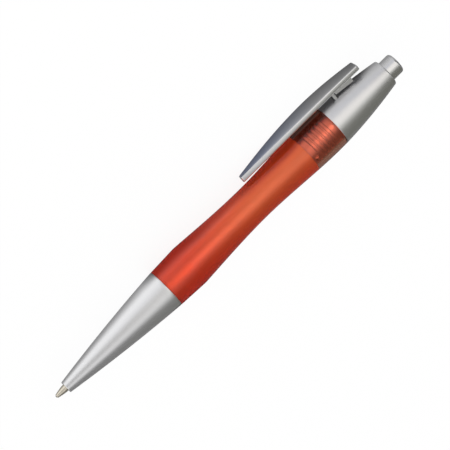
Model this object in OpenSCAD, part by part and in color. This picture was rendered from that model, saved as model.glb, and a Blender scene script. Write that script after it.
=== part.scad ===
// Push-button ballpoint pen with a long nose cone, a waisted clear barrel and a leaf-shaped lever clip.
// Every length along the pen is counted from the ball, and every r is a radius about the pen's axis.
// The pen lies on a flat surface, on its two widest rings and the low edge of its clip.

/* [Nose cone] */
// How far the point stands out of the nose when the pen writes
point_out = 4; // [3:0.1:5]
// Length of the nose cone that shows
nose_len = 40.9; // [38:0.1:46]
// Radius of the flat rim at the nose's tip
nose_tip_r = 1.95; // [1.85:0.01:2.1]
// Radius where the nose cone meets the barrel
front_r = 6.46; // [6.3:0.01:6.6]
// How far the cone's outline bows out of a straight line
nose_bow = 0.38; // [0.2:0.01:0.5]
// Length of the plain hole between the point's guide and the spring's seat
throat_len = 4.3; // [3:0.1:5]
// Length of the straight chamber that holds the spring
chamber_len = 20; // [19:0.5:22]
// Length of the spigot that plugs into the barrel
spigot_len = 7.5; // [6:0.1:8.5]
// Radius of the spigot
spigot_r = 5.2; // [5:0.01:5.3]
// Wall of the spigot
spigot_wall = 1.1; // [0.9:0.05:1.3]

/* [Barrel] */
// Length of the barrel between its two seams
barrel_len = 68.2; // [66:0.1:70]
// Radius of the grip ring, the first of the barrel's two widest places
bulge_r = 6.85; // [6.7:0.01:7]
// Distance from the front seam to the grip ring
bulge_at = 9.5; // [9:0.1:11]
// Half of the length over which the grip ring is rounded
bulge_round = 0.8; // [0.4:0.1:1.5]
// Fall of the outline just behind the grip ring, in mm for each mm of length
bulge_fall = 0.065; // [0.05:0.001:0.08]
// Radius of the waist
waist_r = 5.64; // [5.5:0.01:5.8]
// Distance from the front seam to the waist
waist_at = 35.6; // [33:0.1:38]
// Radius of the shoulder, the widest place near the rear seam
shoulder_r = 6.85; // [6.75:0.01:7]
// Distance from the shoulder to the rear seam
shoulder_back = 3; // [2:0.1:4]
// Radius of the barrel and the cap where they meet
rear_r = 6.82; // [6.7:0.01:6.85]
// Radius of the barrel's bore between its two joints
bore_r = 4.4; // [4.3:0.01:4.5]
// How far the wider bore at each joint runs past the spigot or the tenon
joint_run = 0.6; // [0.4:0.1:1]

/* [Upper cap] */
// Length of the cap that shows
cap_len = 22.5; // [21:0.1:24]
// Radius of the cap at its top edge, before rounding
cap_top_r = 4.42; // [4.3:0.01:4.6]
// How far the cap's outline bows out of a straight line
cap_bow = 0.38; // [0.2:0.01:0.5]
// Rounding of the cap's top edge
cap_round = 0.5; // [0.3:0.05:0.5]
// Length of the threaded tenon that screws into the barrel
tenon_len = 11.4; // [10.5:0.1:12]
// Radius over the thread of the tenon
tenon_r = 5.2; // [5.1:0.01:5.3]
// Length of the guide at the top of the cap's bore that stops the button's flange
lip_len = 2; // [1.5:0.1:2.2]

/* [Button] */
// How far the button stands out of the cap when the pen writes
button_out = 4.4; // [3.6:0.1:5]
// Radius of the button
button_r = 3.32; // [3.2:0.01:3.4]
// Rounding of the button's end
button_round = 0.8; // [0.5:0.05:1]
// Thickness of the flange that keeps the button in the cap
flange_len = 1.4; // [1:0.1:2]
// Width of the flange's edge past the button's side
flange_lip = 0.32; // [0.25:0.01:0.38]
// Thickness of the button's end wall
button_wall = 2.8; // [2:0.1:3.2]

/* [Click mechanism] */
// How far button, cams and refill go back when the point is drawn in
stroke = 5.5; // [5:0.1:6]
// How far the button can be pressed past the writing state
press = 1.2; // [0.8:0.1:1.4]
// Outer radius of the grooved sleeve
sleeve_r = 3.95; // [3.9:0.01:4]
// Radius at the bottom of the sleeve's grooves
groove_r = 3.1; // [3:0.01:3.15]
// Radius over the faces of the lands between the grooves
land_r = 2.5; // [2.45:0.01:2.6]
// Length of the lands and grooves
land_len = 14; // [13:0.1:14.5]
// Number of lands in the sleeve, and of ribs on the plunger and the rotor
cam_count = 4; // [3:1:5]
// Angle that one groove takes
groove_deg = 46; // [42:1:48]
// Slope of the cam faces
cam_slope = 40; // [30:1:45]
// Length of the rotor's ribs
rotor_rib_len = 4; // [3:0.1:4.4]
// Length of the plunger's ribs
plunger_rib_len = 4; // [3:0.1:6]
// Radius of the pin that centres the rotor in the plunger
centre_r = 1.2; // [1:0.05:1.3]
// Length of the centring pin past the cam teeth
centre_len = 3; // [2:0.1:4]
// Radius of the plunger's stem inside the button
stem_r = 1.8; // [1.5:0.05:2]
// Depth of the rotor's socket for the end of the refill
socket_len = 3; // [2:0.1:3.4]
// How far the rotor stays inside the sleeve's front end when the button is pressed
rotor_depth = 1.1; // [0.6:0.1:2]

/* [Refill] */
// Radius of the ball
ball_r = 0.4; // [0.35:0.01:0.5]
// How far the ball stands out of the point
ball_out = 0.25; // [0.2:0.01:0.3]
// Radius of the point's shank, where it leaves the nose
point_r = 1.15; // [1.1:0.01:1.2]
// Radius of the point's front edge, round the ball
point_edge_r = 0.56; // [0.54:0.01:0.7]
// Length of the point's cone
point_cone_len = 3.2; // [2.6:0.1:3.6]
// Length of the point from its front edge to the refill's tube
point_len = 9.2; // [9:0.1:9.6]
// Length of the point's tail inside the tube
tail_len = 5; // [4:0.1:7]
// Outer radius of the refill's tube
tube_r = 1.5; // [1.45:0.01:1.55]
// Wall of the refill's tube
tube_wall = 0.5; // [0.4:0.05:0.55]
// Radius over the two crimped ears that carry the spring
ear_r = 2; // [1.9:0.01:2.1]
// Distance from the spring's seat in the nose to the ears
spring_len = 13; // [11:0.5:13.5]
// Length of the ears
ear_len = 2; // [1.5:0.1:2.5]
// Length of the ink in the tube
ink_len = 72; // [40:1:80]
// Length of the grease that follows the ink
grease_len = 4; // [3:0.5:6]

/* [Spring] */
// Outer radius of the return spring
spring_r = 2.15; // [2.1:0.01:2.2]
// Thickness of the spring's wire
wire_d = 0.34; // [0.3:0.01:0.38]
// Number of turns
spring_turns = 9; // [7:1:12]

/* [Clip] */
// Distance from the ball to the clip's lower tip
clip_from = 82.6; // [80:0.1:86]
// Length of the clip
clip_len = 47.4; // [45:0.1:49]
// Distance from the clip's lower tip to its widest place
clip_wide_at = 28; // [26:0.1:30]
// Width of the clip at its widest place
clip_w = 7.6; // [7.2:0.1:8.2]
// Width of the clip at its lower tip
clip_tip_w = 1.9; // [1.6:0.1:2.4]
// Width of the clip at its top end
clip_top_w = 4.5; // [4:0.1:5]
// Height of the clip's face over the pen's axis, at its lower tip
clip_tip_h = 9; // [8.9:0.05:9.3]
// Height of the clip's face at its top end
clip_top_h = 9.45; // [9.3:0.05:9.6]
// Height of the clip's face at its widest place
clip_peak_h = 10.7; // [10.4:0.05:10.9]
// How far the face falls from its middle line to its edge, at the widest place
clip_crown = 0.42; // [0.2:0.02:0.6]
// Thickness of the clip's edge at its widest place and at its top end
clip_edge = 1.65; // [1.4:0.05:1.8]
// Thickness of the clip's edge at its lower tip
clip_tip_edge = 1.9; // [1.6:0.05:2]
// Rounding of the four corners of the leaf, as seen on its face
clip_corner = 0.5; // [0.3:0.05:0.7]
// Rounding of the long edges of the clip's underside
clip_round = 0.5; // [0.3:0.05:0.6]
// Distance from the clip's top end to the middle of its foot
foot_back = 11.05; // [10.9:0.05:12.5]
// Thickness of the foot along the pen
foot_t = 0.9; // [0.7:0.05:1.1]
// Width of the foot across the pen
foot_w = 4.2; // [3.4:0.1:4.4]
// Depth of the foot's root in the cap
foot_root = 1.85; // [1.6:0.05:2]
// Width of the stop rib under the clip's top end
rib_w = 3.6; // [3:0.1:3.8]
// Distance from the middle of the foot to the near end of the rib
rib_from = 0.8; // [0.7:0.1:1.6]
// Length of the rib
rib_len = 6.6; // [5:0.1:7]
// Gap between the rib and the cap at the end near the foot
rib_gap_low = 0.65; // [0.5:0.05:1]
// Gap between the rib and the cap at the far end, where the pressed clip stops
rib_gap_top = 0.5; // [0.45:0.05:0.7]

/* [Fits] */
// Gap on the radius between pieces that slide
run_gap = 0.08; // [0.05:0.01:0.1]
// Gap on the radius between pieces that are pressed or screwed together
seat_gap = 0.03; // [0.02:0.01:0.04]
// Gap between pieces that face each other along the pen
end_gap = 0.1; // [0.05:0.01:0.15]
// Gap round the clip's foot in its slot, which lets it rock
slot_gap = 0.14; // [0.12:0.01:0.18]
// Gap on the radius round the refill's tube and the spring
loose_gap = 0.15; // [0.12:0.01:0.2]

/* [Hidden] */

$fn = 96;
// Steps of a long curve, of a small rounding and of one turn of the spring
curve_steps = 22;
round_steps = 6;
turn_steps = 16;
wire_sides = 6;
// Overshoot of a cut past the face that it opens
cut = 0.2;
// Chamfer at the ends of the joints, and length of the refill's shoulder
lead = 0.4;

// Places along the pen
nose_z = point_out;
front_z = nose_z + nose_len;
rear_z = front_z + barrel_len;
cap_z = rear_z + cap_len;
end_z = cap_z + button_out;
spigot_z = front_z + spigot_len;
bulge_z = front_z + bulge_at;
waist_z = front_z + waist_at;
shoulder_z = rear_z - shoulder_back;
tenon_z = rear_z - tenon_len;
lip_z = cap_z - lip_len;

// The click mechanism, from the button down
flange_z = lip_z - stroke - end_gap - flange_len;
sleeve_z = tenon_z + seat_gap;
socket_z = sleeve_z + rotor_depth + press;
tube_end_z = socket_z + socket_len;
rotor_rib_z = tube_end_z - rotor_rib_len / 2;
land_z = rotor_rib_z + rotor_rib_len + end_gap;
land_end_z = land_z + land_len;
cam_r = land_r - run_gap;
cam_rib_r = groove_r - run_gap;
cam_rib_w = 2 * (land_r * sin(groove_deg / 2) - run_gap);
tooth_count = 2 * cam_count;
tooth_deg = 360 / tooth_count;
tooth_rise = 2 * cam_r * sin(tooth_deg / 2) * tan(cam_slope);
tooth_z = land_z + press;
plunger_rib_z = tooth_z + tooth_rise + end_gap;
centre_hole_r = centre_r + run_gap;
stem_len = end_z - button_wall - end_gap - flange_z;

// The refill
point_z = ball_out;
tube_z = point_z + point_len;
tube_bore_r = tube_r - tube_wall;
tail_r = tube_bore_r - seat_gap;
tail_end_z = tube_z + tail_len;

// The nose's bore: the guide stops short of the shoulder of the pressed refill
guide_z = tube_z - lead - press - 2 * end_gap;
seat_z = guide_z + throat_len;
chamber_z = seat_z + chamber_len;
ear_z = seat_z + spring_len;
chamber_r = spring_r + loose_gap;
throat_r = tube_r + loose_gap;
ink_r = tube_bore_r - seat_gap;
ink_z = tail_end_z + seat_gap;
grease_z = ink_z + ink_len + seat_gap;
ink_hole_r = 0.35;

// The clip
clip_to = clip_from + clip_len;
clip_wide_z = clip_from + clip_wide_at;
foot_z = clip_to - foot_back;
rib_z = foot_z + rib_from;
rib_end_z = rib_z + rib_len;
foot_seat_r = cap_r(foot_z) - foot_root;

// How the pen lies: its axis is level, and the clip is turned down until its edge meets the surface
axis_h = max(bulge_r, shoulder_r);
edge_h = clip_face_h(clip_wide_z) - clip_crown;
edge_reach = norm([edge_h, clip_w / 2]);
clip_down = asin(axis_h / edge_reach) - atan2(clip_w / 2, edge_h);
side_reach = edge_h * cos(clip_down) + clip_w / 2 * sin(clip_down);
axis_y = (axis_h - side_reach) / 2;

// Even ease from 0 to 1 and the cubic curve between two radii with a slope at its start
function ease(t) = t * t * (3 - 2 * t);
function eased(a, b, t) = a + (b - a) * ease(t);
function swept(a, b, fall, span, t) = eased(a, b, t) - fall * span * t * (1 - t) * (1 - t);
function bowed(a, b, bow, t) = a + (b - a) * t + 4 * bow * t * (1 - t);
function place(z, a, b) = (z - a) / (b - a);

// Outlines of the nose, the barrel and the cap
function nose_outline() = [
    for (i = [0 : curve_steps])
        [bowed(nose_tip_r, front_r, nose_bow, i / curve_steps), nose_z + nose_len * i / curve_steps]
];
rise = (bulge_r - front_r) / (bulge_at - bulge_round / 2);
behind_r = bulge_r - bulge_fall * bulge_round / 2;
behind_z = bulge_z + bulge_round;
function ring_r(z) = bulge_r - (z < bulge_z ? rise : bulge_fall) * pow(z - bulge_z, 2) / (2 * bulge_round);
function grip_outline() = [
    [front_r, front_z],
    for (i = [-round_steps : round_steps - 1])
        let (z = bulge_z + bulge_round * i / round_steps) [ring_r(z), z]
];
function waist_outline() = [
    for (i = [0 : curve_steps])
        let (t = i / curve_steps)
        [swept(behind_r, waist_r, bulge_fall, waist_z - behind_z, t), behind_z + (waist_z - behind_z) * t]
];
function shoulder_outline() = [
    for (i = [1 : curve_steps])
        let (t = i / curve_steps) [eased(waist_r, shoulder_r, t), waist_z + (shoulder_z - waist_z) * t],
    [rear_r, rear_z]
];
function cap_r(z) = bowed(rear_r, cap_top_r, cap_bow, place(z, rear_z, cap_z));
function cap_outline() = [
    for (i = [0 : curve_steps])
        let (z = rear_z + (cap_len - cap_round) * i / curve_steps) [cap_r(z), z],
    for (i = [1 : round_steps])
        let (a = 90 * i / round_steps)
        [cap_r(cap_z - cap_round) - cap_round * (1 - cos(a)), cap_z - cap_round * (1 - sin(a))]
];

// The clip's leaf: a value that rises along a quarter of a sine wave from each end to the widest place
function leafed(z, at_tip, widest, at_top) =
    z < clip_wide_z
        ? at_tip + (widest - at_tip) * sin(90 * place(z, clip_from, clip_wide_z))
        : at_top + (widest - at_top) * sin(90 * place(z, clip_to, clip_wide_z));
function corner_cut(d) =
    d >= clip_corner ? 0 : clip_corner - sqrt(pow(clip_corner, 2) - pow(clip_corner - d, 2));

// Half the clip's width, the height of its face and the height of its underside at a place along the pen
function clip_half_w(z) =
    leafed(z, clip_tip_w, clip_w, clip_top_w) / 2 - corner_cut(z - clip_from) - corner_cut(clip_to - z);
function clip_face_h(z) = leafed(z, clip_tip_h, clip_peak_h, clip_top_h);
function clip_drop(w) = clip_crown * pow(2 * w / clip_w, 2);
function clip_edge_t(z) =
    z < clip_wide_z ? eased(clip_tip_edge, clip_edge, place(z, clip_from, clip_wide_z)) : clip_edge;
function clip_under_h(z) = clip_face_h(z) - clip_drop(clip_half_w(z)) - clip_edge_t(z);

// Places the pen as it lies; inside, Z runs along the pen from the ball to the button
module lie() {
    translate([-end_z / 2, axis_y, axis_h]) rotate([0, 90, 0]) children();
}

// Turns what is built on X, as seen along the pen, to the clip's side
module clip_side() {
    rotate([0, 0, 90 - clip_down]) children();
}

module ring(r_out, r_in, z0, z1) {
    translate([0, 0, z0])
    difference() {
        cylinder(r = r_out, h = z1 - z0);
        translate([0, 0, -cut]) cylinder(r = r_in, h = z1 - z0 + 2 * cut);
    }
}

module nose_cone() {
    color("silver")
    lie()
    rotate_extrude()
    polygon(concat(
        [[point_r + run_gap, nose_z]],
        nose_outline(),
        [
            [spigot_r, front_z], [spigot_r, spigot_z - lead], [spigot_r - lead, spigot_z],
            [spigot_r - spigot_wall, spigot_z], [spigot_r - spigot_wall, front_z], [chamber_r, chamber_z],
            [chamber_r, seat_z], [throat_r, seat_z], [throat_r, guide_z], [point_r + run_gap, guide_z]
        ]
    ));
}

module barrel() {
    front_bore_r = spigot_r + seat_gap;
    rear_bore_r = tenon_r + seat_gap;
    front_end_z = spigot_z + joint_run;
    rear_end_z = tenon_z - joint_run;
    color("orangered", 0.6)
    lie()
    rotate_extrude()
    polygon(concat(
        grip_outline(), waist_outline(), shoulder_outline(),
        [
            [rear_bore_r, rear_z], [rear_bore_r, rear_end_z], [bore_r, rear_end_z - (rear_bore_r - bore_r)],
            [bore_r, front_end_z + (front_bore_r - bore_r)], [front_bore_r, front_end_z],
            [front_bore_r, front_z]
        ]
    ));
}

module upper_cap() {
    flange_bore_r = button_r + flange_lip + run_gap;
    sleeve_bore_r = sleeve_r + seat_gap;
    color("silver")
    lie()
    difference() {
        rotate_extrude()
        polygon(concat(
            cap_outline(),
            [
                [button_r + run_gap, cap_z], [button_r + run_gap, lip_z], [flange_bore_r, lip_z],
                [flange_bore_r, land_end_z + seat_gap], [sleeve_bore_r, land_end_z + seat_gap],
                [sleeve_bore_r, tenon_z], [tenon_r - lead, tenon_z], [tenon_r, tenon_z + lead],
                [tenon_r, rear_z]
            ]
        ));
        clip_side() foot_block(slot_gap, cut);
    }
}

// The foot, or the slot that holds it when grown by a gap
module foot_block(gap, above) {
    top = above > 0 ? cap_r(foot_z - foot_t) + above : clip_under_h(foot_z) + clip_edge / 2;
    translate([foot_seat_r - gap, -foot_w / 2 - gap, foot_z - foot_t / 2 - gap])
    cube([top - foot_seat_r + gap, foot_w + 2 * gap, foot_t + 2 * gap]);
}

// One cross-section of the clip: its crowned face from edge to edge, then its underside with rounded edges
face_points = 8;
edge_points = 3;
function clip_section(z) =
    let (w = clip_half_w(z), face = clip_face_h(z), under = clip_under_h(z), r = min(clip_round, w / 2))
    [
        for (i = [0 : face_points])
            let (y = w * (2 * i / face_points - 1)) [face - clip_drop(y), y, z],
        for (i = [0 : edge_points])
            let (a = 90 * i / edge_points) [under + r * (1 - sin(a)), w - r * (1 - cos(a)), z],
        for (i = [0 : edge_points])
            let (a = 90 * i / edge_points) [under + r * (1 - cos(a)), r * (1 - sin(a)) - w, z]
    ];

module clip_leaf() {
    steps = 2 * curve_steps;
    stations = [
        for (i = [0 : steps])
            clip_from + clip_len * (1 - cos(180 * i / steps)) / 2
    ];
    sections = [for (z = stations) clip_section(z)];
    n = len(sections[0]);
    last = len(sections) - 1;
    polyhedron(
        points = [for (s = sections) each s],
        faces = concat(
            [[for (j = [0 : n - 1]) j]],
            [[for (j = [n - 1 : -1 : 0]) last * n + j]],
            [
                for (i = [0 : last - 1]) for (j = [0 : n - 1])
                    [i * n + j, (i + 1) * n + j, (i + 1) * n + (j + 1) % n, i * n + (j + 1) % n]
            ]
        )
    );
}

// The stop rib: a broad wedge whose lower face stands over the cap
module stop_rib() {
    rotate([-90, 0, 0])
    translate([0, 0, -rib_w / 2])
    linear_extrude(rib_w)
    polygon([
        [clip_under_h(rib_z) + clip_edge / 2, -rib_z], [cap_r(rib_z) + rib_gap_low, -rib_z],
        [cap_r(rib_end_z) + rib_gap_top, -rib_end_z], [clip_under_h(rib_end_z) + clip_edge / 2, -rib_end_z]
    ]);
}

module clip() {
    color("lightsteelblue")
    lie()
    clip_side() {
        clip_leaf();
        foot_block(0, 0);
        stop_rib();
    }
}

module push_button() {
    stem_hole_r = stem_r + seat_gap;
    color("gainsboro")
    lie()
    rotate_extrude()
    polygon(concat(
        [
            [stem_hole_r, flange_z], [button_r + flange_lip, flange_z],
            [button_r + flange_lip, flange_z + flange_len], [button_r, flange_z + flange_len]
        ],
        [
            for (i = [0 : round_steps])
                let (a = 90 * i / round_steps)
                [button_r - button_round * (1 - cos(a)), end_z - button_round * (1 - sin(a))]
        ],
        [[0, end_z], [0, end_z - button_wall], [stem_hole_r, end_z - button_wall]]
    ));
}

// The space over or under the sloping faces of a ring of cam teeth, which starts at a height z
module tooth_gaps(z, over) {
    reach = cam_r / cos(tooth_deg / 2) + cut;
    tall = (over ? 2 : -2) * tooth_rise;
    low_z = z - tan(cam_slope) * cut;
    for (i = [0 : tooth_count - 1])
        rotate([0, 0, tooth_deg * i])
        intersection() {
            translate([0, 0, z - 2 * tooth_rise])
            linear_extrude(4 * tooth_rise)
            polygon([[0, 0], [reach, 0], [reach * cos(tooth_deg), reach * sin(tooth_deg)]]);
            rotate([90, 0, 90])
            linear_extrude(reach)
            polygon([
                [-cut, low_z], [reach, z + reach * tan(cam_slope)], [reach, z + tall], [-cut, z + tall]
            ]);
        }
}

// Straight ribs round a cam, one for each groove
module cam_ribs(z0, z1) {
    for (i = [0 : cam_count - 1])
        rotate([0, 0, 360 / cam_count * i])
        intersection() {
            ring(cam_rib_r, cam_r - cut, z0, z1);
            translate([0, -cam_rib_w / 2, z0]) cube([cam_rib_r, cam_rib_w, z1 - z0]);
        }
}

module cam_plunger() {
    color("white")
    lie()
    difference() {
        union() {
            translate([0, 0, tooth_z]) cylinder(r = cam_r, h = flange_z - tooth_z);
            cam_ribs(plunger_rib_z, plunger_rib_z + plunger_rib_len);
            translate([0, 0, flange_z - cut]) cylinder(r = stem_r, h = stem_len + cut);
        }
        translate([0, 0, tooth_z - cut]) cylinder(r = centre_hole_r, h = tooth_rise + centre_len + cut);
        tooth_gaps(tooth_z + end_gap, false);
    }
}

module cam_rotor() {
    socket_r = tube_r + run_gap;
    color("white")
    lie() {
        difference() {
            union() {
                translate([0, 0, socket_z]) cylinder(r = cam_r, h = tooth_z + tooth_rise - socket_z);
                cam_ribs(rotor_rib_z, rotor_rib_z + rotor_rib_len);
            }
            translate([0, 0, socket_z - cut]) cylinder(r = socket_r, h = socket_len + cut);
            tooth_gaps(tooth_z, true);
        }
        translate([0, 0, tooth_z - cut]) cylinder(r = centre_r, h = cut + tooth_rise + centre_len - end_gap);
    }
}

module cam_sleeve() {
    land_deg = 360 / cam_count - groove_deg;
    color("ivory")
    lie() {
        ring(sleeve_r, groove_r, sleeve_z, land_end_z);
        for (i = [0 : cam_count - 1])
            rotate([0, 0, 360 / cam_count * i + groove_deg / 2])
            rotate_extrude(angle = land_deg)
            translate([land_r, land_z])
            square([sleeve_r - land_r - seat_gap, land_len]);
    }
}

// One ring of the wire, square to the coil at a given turn
function coil_h(t) =
    let (full = spring_len - wire_d - 2 * end_gap, pitch = wire_d)
    t < 1 ? pitch * t
    : t > spring_turns - 1 ? full - pitch * (spring_turns - t)
    : pitch + (full - 2 * pitch) * (t - 1) / (spring_turns - 2);
function wire_ring(t) = [
    for (j = [0 : wire_sides - 1])
        let (a = 360 * t, b = 360 * j / wire_sides, r = spring_r - wire_d / 2 + wire_d / 2 * cos(b))
        [r * cos(a), r * sin(a), seat_z + end_gap + wire_d / 2 + coil_h(t) + wire_d / 2 * sin(b)]
];

module return_spring() {
    steps = spring_turns * turn_steps;
    color("gray")
    lie()
    polyhedron(
        points = [for (i = [0 : steps]) each wire_ring(i / turn_steps)],
        faces = concat(
            [[for (j = [0 : wire_sides - 1]) j]],
            [[for (j = [wire_sides - 1 : -1 : 0]) steps * wire_sides + j]],
            [
                for (i = [0 : steps - 1]) for (j = [0 : wire_sides - 1])
                    [
                        i * wire_sides + j, (i + 1) * wire_sides + j,
                        (i + 1) * wire_sides + (j + 1) % wire_sides, i * wire_sides + (j + 1) % wire_sides
                    ]
            ]
        )
    );
}

module refill_tube() {
    color("white", 0.7)
    lie() {
        ring(tube_r, tube_bore_r, tube_z, tube_end_z);
        for (side = [0, 180])
            rotate([0, 0, side])
            rotate([-90, 0, 0])
            translate([0, 0, -tube_wall])
            linear_extrude(2 * tube_wall)
            polygon([
                [tube_r - tube_wall / 2, -ear_z], [ear_r, -ear_z], [ear_r, -ear_z - ear_len / 2],
                [tube_r - tube_wall / 2, -ear_z - ear_len]
            ]);
    }
}

module ink_column() {
    color("navy") lie() translate([0, 0, ink_z]) cylinder(r = ink_r, h = ink_len);
}

module grease_plug() {
    color("wheat") lie() translate([0, 0, grease_z]) cylinder(r = ink_r, h = grease_len);
}

module point_body() {
    color("goldenrod")
    lie()
    difference() {
        rotate_extrude()
        polygon([
            [0, point_z], [point_edge_r, point_z], [point_r, point_z + point_cone_len],
            [point_r, tube_z - lead], [tube_r, tube_z - lead], [tube_r, tube_z], [tail_r, tube_z],
            [tail_r, tail_end_z], [0, tail_end_z]
        ]);
        translate([0, 0, ball_r]) sphere(r = ball_r + seat_gap / 2);
        translate([0, 0, ball_r]) cylinder(r = ink_hole_r, h = tail_end_z);
    }
}

module point_ball() {
    color("dimgray") lie() translate([0, 0, ball_r]) sphere(r = ball_r);
}

nose_cone();
barrel();
upper_cap();
clip();
push_button();
cam_plunger();
cam_rotor();
cam_sleeve();
return_spring();
refill_tube();
ink_column();
grease_plug();
point_body();
point_ball();
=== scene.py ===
"""Looks of a push-button ballpoint pen: silver nose, cap, clip and button, and a clear red barrel.

The pen lies along X, the point towards -X. Lengths named as places along the pen count from the ball.
"""
import math

import bmesh
import bpy
from bpy.props import FloatProperty, FloatVectorProperty, PointerProperty
from mathutils import Matrix, Vector


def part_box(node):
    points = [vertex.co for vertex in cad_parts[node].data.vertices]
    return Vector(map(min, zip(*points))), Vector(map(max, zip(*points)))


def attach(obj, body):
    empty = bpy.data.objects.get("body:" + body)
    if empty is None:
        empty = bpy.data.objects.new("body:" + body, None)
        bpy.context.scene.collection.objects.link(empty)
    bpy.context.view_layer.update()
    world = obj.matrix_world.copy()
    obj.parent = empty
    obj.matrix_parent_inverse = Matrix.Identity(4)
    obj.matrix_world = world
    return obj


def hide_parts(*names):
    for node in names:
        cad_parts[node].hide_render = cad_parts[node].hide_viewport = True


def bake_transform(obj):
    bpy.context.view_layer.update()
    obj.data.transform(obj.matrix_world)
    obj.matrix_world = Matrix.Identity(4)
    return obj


bl_info = {
    "name": "Push-button pen",
    "version": (1, 0, 0),
    "blender": (4, 5, 0),
    "location": "View3D > Sidebar > Pen",
    "description": "Models the shells, clip, point and spring of a ballpoint pen and finishes every piece",
    "category": "Object",
}

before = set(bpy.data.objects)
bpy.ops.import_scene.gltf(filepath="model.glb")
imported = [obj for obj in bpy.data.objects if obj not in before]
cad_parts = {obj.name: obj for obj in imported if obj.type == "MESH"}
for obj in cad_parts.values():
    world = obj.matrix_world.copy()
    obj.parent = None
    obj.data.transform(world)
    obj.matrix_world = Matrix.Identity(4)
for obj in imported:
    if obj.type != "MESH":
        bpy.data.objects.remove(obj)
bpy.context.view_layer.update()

MM = 0.001
NOSE_LOW, NOSE_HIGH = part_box("nose_cone")
BARREL_LOW, BARREL_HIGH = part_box("barrel")
CAP_LOW, CAP_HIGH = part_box("upper_cap")
BUTTON_LOW, BUTTON_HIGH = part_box("push_button")
SLEEVE_LOW, SLEEVE_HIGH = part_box("cam_sleeve")

# The pen's own line: where it runs, and its places that the solids give
AXIS = (BARREL_LOW + BARREL_HIGH) / 2
TIP_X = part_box("point_ball")[0].x
NOSE_X = NOSE_LOW.x
FRONT_X = BARREL_LOW.x
SPIGOT_X = NOSE_HIGH.x
REAR_X = BARREL_HIGH.x
TENON_X = CAP_LOW.x
CAP_X = CAP_HIGH.x
END_X = BUTTON_HIGH.x
TUBE_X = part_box("refill_tube")[0].x
FRONT_R = (NOSE_HIGH.z - NOSE_LOW.z) / 2
BULGE_R = (BARREL_HIGH.z - BARREL_LOW.z) / 2
REAR_R = (CAP_HIGH.z - CAP_LOW.z) / 2
FLANGE_R = (BUTTON_HIGH.z - BUTTON_LOW.z) / 2
SLEEVE_R = (SLEEVE_HIGH.z - SLEEVE_LOW.z) / 2

# How finely the outlines are drawn and turned, and how the meshes are closed
NOSE_STEPS, BARREL_STEPS, CAP_STEPS, POINT_STEPS = 40, 110, 36, 10
ARC_STEPS = 5
SPIN_STEPS = 128
SMOOTH_DEG = 35.0
WELD = 1e-7

# Height of the fine relief in the finishes
RELIEF = 0.01 * MM
WHITE = (1.0, 1.0, 1.0, 1.0)


def length(name, default_mm, description):
    """A length in the settings, given in millimetres."""
    return FloatProperty(
        name=name, description=description, default=default_mm * MM, min=0.0, unit="LENGTH", precision=5
    )


def colour(name, default, description):
    """A colour in the settings."""
    return FloatVectorProperty(
        name=name, description=description, default=default, size=3, min=0.0, max=1.0, subtype="COLOR"
    )


def share(name, default, description):
    """A plain number in the settings."""
    return FloatProperty(name=name, description=description, default=default, min=0.0, max=1.0)


class PenNoseSettings(bpy.types.PropertyGroup):
    tip_r: length("Tip radius", 1.95, "Radius of the flat rim round the point")
    bow: length("Bow", 0.38, "How far the cone's outline bows out of a straight line")
    hole_r: length("Hole radius", 1.23, "Radius of the hole that the point comes through")
    spigot_r: length("Spigot radius", 5.2, "Radius of the spigot inside the barrel")
    spigot_wall: length("Spigot wall", 1.1, "Wall of the spigot")
    chamfer: length("Chamfer", 0.4, "Chamfer at the spigot's end")
    guide_end: length("Guide end", 7.65, "Distance from the ball to the rear end of the point's guide")
    throat_r: length("Throat radius", 1.65, "Radius of the hole behind the guide")
    seat_at: length("Spring seat", 11.95, "Distance from the ball to the spring's seat")
    chamber_r: length("Chamber radius", 2.3, "Radius of the chamber that holds the spring")
    chamber_end: length("Chamber end", 31.95, "Distance from the ball to the rear end of the chamber")
    rim_round: length("Rim rounding", 0.16, "Rounding of the rim round the point")
    seam_round: length("Seam rounding", 0.24, "Rounding of the rear rim, at the seam with the barrel")
    paint: colour("Paint", (0.86, 0.86, 0.87), "Silver lacquer of the nose")


class PenBarrelSettings(bpy.types.PropertyGroup):
    bulge_at: length("Grip ring place", 9.5, "Distance from the front seam to the grip ring")
    bulge_round: length("Grip ring rounding", 0.8, "Half of the length over which the grip ring is rounded")
    bulge_fall: share("Grip ring fall", 0.065, "Fall of the outline just behind the grip ring")
    waist_at: length("Waist place", 35.6, "Distance from the front seam to the waist")
    waist_r: length("Waist radius", 5.64, "Radius of the waist")
    shoulder_back: length("Shoulder place", 3.0, "Distance from the shoulder to the rear seam")
    bore_r: length("Bore radius", 4.4, "Radius of the bore between the two joints")
    joint_r: length("Joint radius", 5.23, "Radius of the bore round the spigot and the tenon")
    rim_round: length("Rim rounding", 0.12, "Rounding of the barrel's two rims")
    joint_run: length("Joint run", 0.6, "How far the wider bore runs past the spigot")
    tenon_run: length("Tenon run", 0.06, "How far the wider bore runs past the tenon")
    front_taper: length("Front taper", 8.0, "Length over which the bore narrows behind the spigot")
    rear_taper: length("Rear taper", 3.0, "Length over which the bore widens in front of the tenon")
    plastic: colour("Plastic", (1.0, 0.42, 0.29), "Clear red plastic of the barrel")
    frost_thick: colour("Frost, thick wall", (0.95, 0.185, 0.07), "Frosted bore where the wall is thick")
    frost_thin: colour("Frost, thin wall", (1.0, 0.40, 0.155), "Frosted bore where the wall is thin")
    frost_aslant: colour("Frost, aslant", (1.0, 0.42, 0.45), "What the frost keeps of its colour, aslant")


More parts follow.
